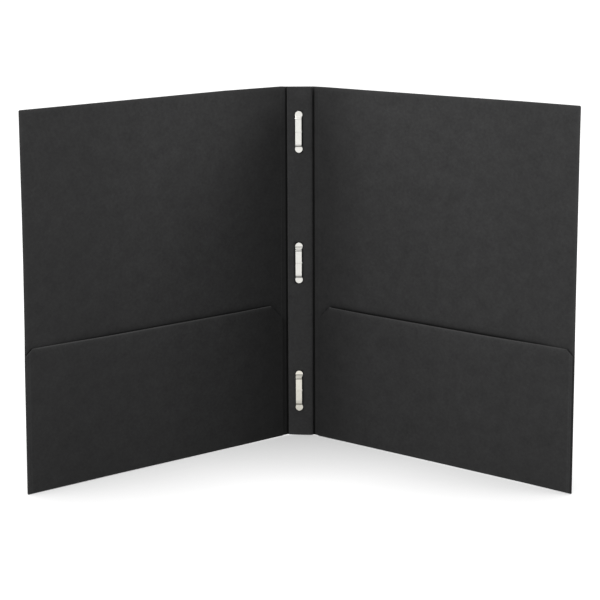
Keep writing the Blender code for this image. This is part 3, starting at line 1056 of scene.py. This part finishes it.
def new_shape_tree(name, sizes):
    """An empty shape tree with a named input for each size and for the material."""
    tree = bpy.data.node_groups.new(name, "GeometryNodeTree")
    tree.interface.new_socket(name="Shape", in_out="OUTPUT", socket_type="NodeSocketGeometry")
    for size in sizes:
        tree.interface.new_socket(name=size, in_out="INPUT", socket_type="NodeSocketFloat")
    tree.interface.new_socket(name="Metal Finish", in_out="INPUT", socket_type="NodeSocketMaterial")
    return tree


def rolled_rod(nodes, around, steps):
    """A round rod along Z to be bent into a strip. Gives its shape, the values across and through a section
    with rolled edges, each -1 to 1, and the course along it, -0.5 to 0.5."""
    counts = {"Vertices": around, "Side Segments": steps, "Radius": 1.0, "Depth": 1.0}
    rod = nodes.add("GeometryNodeMeshCylinder", {"fill_type": "NGON"}, counts)
    position = nodes.add("ShaderNodeSeparateXYZ", {}, {"Vector": nodes.add("GeometryNodeInputPosition")})
    across = position.out("X").sign() * position.out("X").size() ** 0.5
    through = position.out("Y").sign() * position.out("Y").size() ** 0.5
    return rod, across, through, position.out("Z")


def marked(nodes, shape, name, value):
    """The shape with a value kept on its points for the material."""
    settings = {"data_type": "FLOAT", "domain": "POINT"}
    values = {"Geometry": shape, "Name": name, "Value": value}
    return nodes.add("GeometryNodeStoreNamedAttribute", settings, values)


def finish_shape_tree(nodes, size, rod, spot, flipped):
    """Moves the rod's points to their spots, turns its faces out if that mirrored them, and hands it out."""
    place = nodes.add("ShaderNodeCombineXYZ", {}, spot)
    moved = nodes.add("GeometryNodeSetPosition", {}, {"Geometry": rod, "Position": place})
    faced = nodes.add("GeometryNodeFlipFaces", {}, {"Mesh": moved, "Selection": flipped})
    smooth = nodes.add("GeometryNodeSetShadeSmooth", {}, {0: faced})
    real = nodes.add("GeometryNodeRealizeInstances", {}, {0: smooth})
    finish = {"Geometry": real, "Material": size("Metal Finish")}
    coated = nodes.add("GeometryNodeSetMaterial", {}, finish)
    nodes.add("NodeGroupOutput", {}, {"Shape": coated})


def prong_tree():
    """One prong: a neck through the slit, a tight bend, a raised arm, a step down and a round flat tip."""
    root_share = 0.16
    tip_start = 0.84
    neck_share = 0.25
    tip_turn = math.radians(87)
    squareness = 9.0
    tree = new_shape_tree("bent_prong", PRONG_SIZES)
    nodes = Nodes(tree)
    size = nodes.add("NodeGroupInput").out
    rod, across, through, course = rolled_rod(nodes, around=28, steps=110)
    course = course + 0.5
    metal = size("Metal")
    radius = size("Bend Radius")
    tip_radius = size("Tip Radius")
    root = (course / root_share).clamped()
    arm = ((course - root_share) / (tip_start - root_share)).clamped()
    tip = ((course - tip_start) / (1 - tip_start)).clamped()
    neck = (root / neck_share).clamped()
    turn = ((root - neck_share) / (1 - neck_share)).clamped() * (math.pi / 2)
    neck_place = size("Seam Gap") / 2 + metal / 2
    tip_centre = size("Reach") - tip_radius
    arm_run = tip_centre - neck_place - radius
    along = neck_place + radius * (1 - turn.cosine()) + arm_run * arm + tip_radius * (tip * tip_turn).sine()
    step = ((along - size("Step Start")) / size("Step Length")).clamped()
    drop = size("Arm Level") - size("Tip Level")
    fall = drop * (step * step * (3 - 2 * step))
    slope = drop / size("Step Length") * 6 * step * (1 - step)
    from_crest = ((along - size("Step Start")) / CREST_HALF_LENGTH).size()
    crest = size("Crest Rise") * (1 - from_crest.clamped()) ** 2
    neck_run = size("Arm Level") - radius - size("Foot Level")
    level = size("Foot Level") + neck_run * neck + radius * turn.sine() - fall + crest
    past_centre = along - tip_centre
    round_half = (tip_radius * tip_radius - past_centre * past_centre).at_least(0.0).root()
    before_tip = 1 - along.above(tip_centre)
    fillet = TIP_FILLET * ((tip_centre - along) / tip_radius).clamped()
    shift = size("Arm Shift")
    half_width = size("Width") / 2
    right_half = round_half.maths("SMOOTH_MAX", round_half, (half_width + shift) * before_tip, fillet)
    left_half = round_half.maths("SMOOTH_MAX", round_half, (half_width - shift) * before_tip, fillet)
    is_right = across.above(0.0)
    x = across * (right_half * is_right + left_half * (1 - is_right))
    tilt = slope.maths("ARCTANGENT", slope)
    lean_along = tilt.sine() - turn.cosine()
    lean_level = turn.sine() * tilt.cosine()
    corner = (turn.cosine() ** squareness + turn.sine() ** squareness) ** (-1 / squareness) - 1
    outwards = through * metal / 2 + corner * (radius + metal / 2) * through.at_least(0.0)

    def line(strength, place, half_length):
        return size(strength) * (1 - ((along - place) / half_length).size().clamped())

    # Painted shade lines at the crest, the tip and the riser, and a painted fade along the arm towards the
    # riser
    crest_line = line("Crest Line", CREST_LINE_AT, BEND_LINE_HALF_WIDTH)
    tip_line = line("Tip Line", TIP_LINE_AT, BEND_LINE_HALF_WIDTH)
    riser_line = line("Riser Line", RISER_LINE_AT, RISER_LINE_HALF_WIDTH)
    before_riser = 1 - along.above(RISER_LINE_AT)
    fade = line("Arm Fade", RISER_LINE_AT, size("Fade Length")) * before_riser
    rod = marked(nodes, rod, "bend_painted_shade", (crest_line + tip_line + riser_line).at_least(fade))
    rod = marked(nodes, rod, "darkened", size("Darkened"))
    rod = marked(nodes, rod, "warmth", size("Warmth"))
    spot = {
        "X": size("Place X") + x,
        "Y": size("Place Y") - (level + lean_level * outwards),
        "Z": size("Place Z") + size("Direction") * (along + lean_along * outwards),
    }
    finish_shape_tree(nodes, size, rod, spot, size("Direction").above(0.0))
    return tree


def base_tree():
    """A fastener's flat base: a strip with round ends."""
    end_turn = math.radians(86)
    tree = new_shape_tree("fastener_strip", BASE_SIZES)
    nodes = Nodes(tree)
    size = nodes.add("NodeGroupInput").out
    rod, across, through, course = rolled_rod(nodes, around=24, steps=40)
    course = course * 2
    half_width = size("Width") / 2
    straight = size("Length") / 2 - half_width
    end = ((course.size() - 0.5) * 2).clamped() * end_turn
    middle = (course.size() * 2).clamped() * straight
    spot = {
        "X": size("Place X") + across * half_width * end.cosine(),
        "Y": size("Place Y") - through * size("Metal") / 2,
        "Z": size("Place Z") + course.sign() * (middle + half_width * end.sine()),
    }
    finish_shape_tree(nodes, size, rod, spot, size("Metal").above(0.0))
    return tree


def shaped(name, tree, sizes, finish):
    """Runs a shape tree with its inputs set and gives the result as a plain mesh object."""
    blank = in_scene(name + "_blank", bpy.data.meshes.new(name + "_blank"))
    modifier = blank.modifiers.new("shape", "NODES")
    modifier.node_group = tree
    for item in tree.interface.items_tree:
        if item.in_out == "INPUT":
            modifier[item.identifier] = finish if item.name == "Metal Finish" else float(sizes[item.name])
    seen = blank.evaluated_get(bpy.context.evaluated_depsgraph_get())
    mesh = bpy.data.meshes.new_from_object(seen)
    blank.modifiers.remove(modifier)
    bpy.data.objects.remove(blank)
    mesh.name = name
    mesh.set_sharp_from_angle(angle=METAL_SHARP_ANGLE)
    return in_scene(name, mesh)


def fasteners(metal):
    """Each fastener's base and its two prongs, each shaped with a tight bend at its root."""
    prongs = prong_tree()
    bases = base_tree()
    for place, z in FASTENER_Z.items():
        centre = {"Place X": FASTENER_X + FASTENER_DRIFT[place], "Place Z": z}
        base = shaped(f"{place}_base_strip", bases, {**BASE, **centre}, metal)
        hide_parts(f"{place}_fastener_base")
        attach(base, "spine")
        for word, direction in (("upper", 1), ("lower", -1)):
            body = f"{place}_{word}_prong"
            own = {**FINISH[place], **OWN_BENDS_AND_SHADE[(place, word)], "Direction": direction}
            prong = shaped(f"{place}_{word}_strip", prongs, {**PRONG, **centre, **own}, metal)
            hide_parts(body)
            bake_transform(prong)


def boards(board, liner, edge):
    """The folder's own board, cut where the bodies part, and the liner in the spine."""
    spine = spine_board("spine_outer_board", board, edge)
    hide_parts("spine_panel")
    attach(spine, "spine")
    strip = spine_liner("spine_inner_liner", liner, edge)
    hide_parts("spine_liner")
    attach(strip, "spine")
    for word, side in (("left", -1), ("right", 1)):
        along, _, foot = cover_directions(side)
        sheet = cover(side, f"{word}_cover_board", board, edge)
        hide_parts(f"{word}_cover_panel", f"{word}_bottom_fold")
        start = foot - Vector((side * FLEX_START, 0, 0))
        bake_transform(sheet)
        face = pocket(side, f"{word}_pocket_board", board, edge)
        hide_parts(f"{word}_pocket_panel", f"{word}_side_tab")
        start = foot + along * (COVER_WIDTH - TAB_WIDTH)
        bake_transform(face)


# Studio


def floor():
    """A wide pale floor that keeps the folder's soft shadow, partly cast by the lamps and sky and partly
    painted into its glow, and shows as white where it is clear.
    """
    mesh = bpy.data.meshes.new("floor")
    corners = [(-1, -1), (1, -1), (1, 1), (-1, 1)]
    mesh.from_pydata([(x * FLOOR_HALF, y * FLOOR_HALF, FLOOR_Z) for x, y in corners], [], [(0, 1, 2, 3)])
    material, nodes, shader = new_material("floor_paper")
    # Painted shadow: the floor's glow darkens where ambient occlusion finds the folder close by
    open_share = nodes.add("ShaderNodeAmbientOcclusion", {}, {"Distance": FLOOR_SHADE_REACH}).out("AO")
    values = {
        "Base Color": FLOOR_COLOUR,
        "Roughness": 0.9,
        "Specular IOR Level": 0.0,
        "Emission Color": nodes.mix(open_share, FLOOR_DEEPEST_SHADE, WHITE),
        "Emission Strength": FLOOR_GLOW,
    }
    set_shader(nodes, shader, values)
    plain = nodes.add("ShaderNodeBsdfDiffuse", {}, {"Color": FLOOR_BOUNCE})
    shaders = {0: seen_directly(nodes), 1: plain, 2: Link(nodes, shader.outputs[0])}
    look = nodes.add("ShaderNodeMixShader", {}, shaders)
    nodes.plug(material.node_tree.nodes["Material Output"].inputs["Surface"], look)
    mesh.materials.append(material)
    piece = in_scene("floor", mesh)


def world():
    """A light tent: white where it is seen, and brighter behind the folder than before it as light."""
    tent = bpy.data.worlds.new("light_tent")
    tent.use_nodes = True
    bpy.context.scene.world = tent
    nodes = Nodes(tent.node_tree)
    background = tent.node_tree.nodes["Background"]
    generated = nodes.add("ShaderNodeTexCoord").out("Generated")
    direction = nodes.add("ShaderNodeSeparateXYZ", {}, {"Vector": generated})
    level = TENT_LEVEL + TENT_LEVEL_BEHIND * direction.out("Y").at_least(0.0)
    seen = seen_directly(nodes)
    background.inputs["Color"].default_value = (*WHITE, 1)
    nodes.plug(background.inputs["Strength"], seen + level * (1 - seen))


def soft_lamp(name, place, size, watts):
    """A square area lamp that faces the folder's middle."""
    lamp = bpy.data.lights.new(name, "AREA")
    lamp.shape = "SQUARE"
    lamp.size = size
    lamp.energy = watts
    holder = in_scene(name, lamp)
    holder.location = place
    holder.rotation_euler = (LAMP_TARGET - Vector(place)).to_track_quat("-Z", "Y").to_euler()


def camera():
    """The photograph's camera, turned by its yaw, pitch and roll."""
    lens = bpy.data.cameras.new("photo_camera")
    lens.lens = CAMERA_LENS
    lens.sensor_width = CAMERA_SENSOR
    lens.shift_y = CAMERA_SHIFT_Y
    lens.clip_end = CAMERA_FAR
    level = math.cos(CAMERA_PITCH)
    ahead = Vector((math.sin(CAMERA_YAW) * level, math.cos(CAMERA_YAW) * level, -math.sin(CAMERA_PITCH)))
    level_right = Vector((math.cos(CAMERA_YAW), -math.sin(CAMERA_YAW), 0))
    level_up = level_right.cross(ahead)
    right = level_right * math.cos(CAMERA_ROLL) + level_up * math.sin(CAMERA_ROLL)
    up = level_up * math.cos(CAMERA_ROLL) - level_right * math.sin(CAMERA_ROLL)
    turn = Matrix((right, up, -ahead)).transposed().to_4x4()
    place = Vector((CAMERA_X, FOLD_Y - CAMERA_FROM_SPINE, CAMERA_Z))
    holder = in_scene("photo_camera", lens)
    holder.matrix_world = Matrix.Translation(place) @ turn
    bpy.context.scene.camera = holder


def main():
    camera()
    board = paper("folder_board_face", BOARD_TONES, grain_turn=0.5)
    liner = paper("liner_paper_face", LINER_TONES, grain_turn=0.2)
    boards(board, liner, cut_edge("board_cut_edge"))
    fasteners(nickel("plated_fastener_metal"))
    floor()
    world()
    soft_lamp("key_lamp", (-1.3, -1.7, 2.0), size=0.8, watts=33.5)
    soft_lamp("left_lamp", (-2.2, -0.3, 1.2), size=1.0, watts=7.0)
    soft_lamp("right_lamp", (2.2, -0.3, 1.2), size=1.0, watts=18)
    bpy.context.scene.view_settings.view_transform = "Standard"


main()
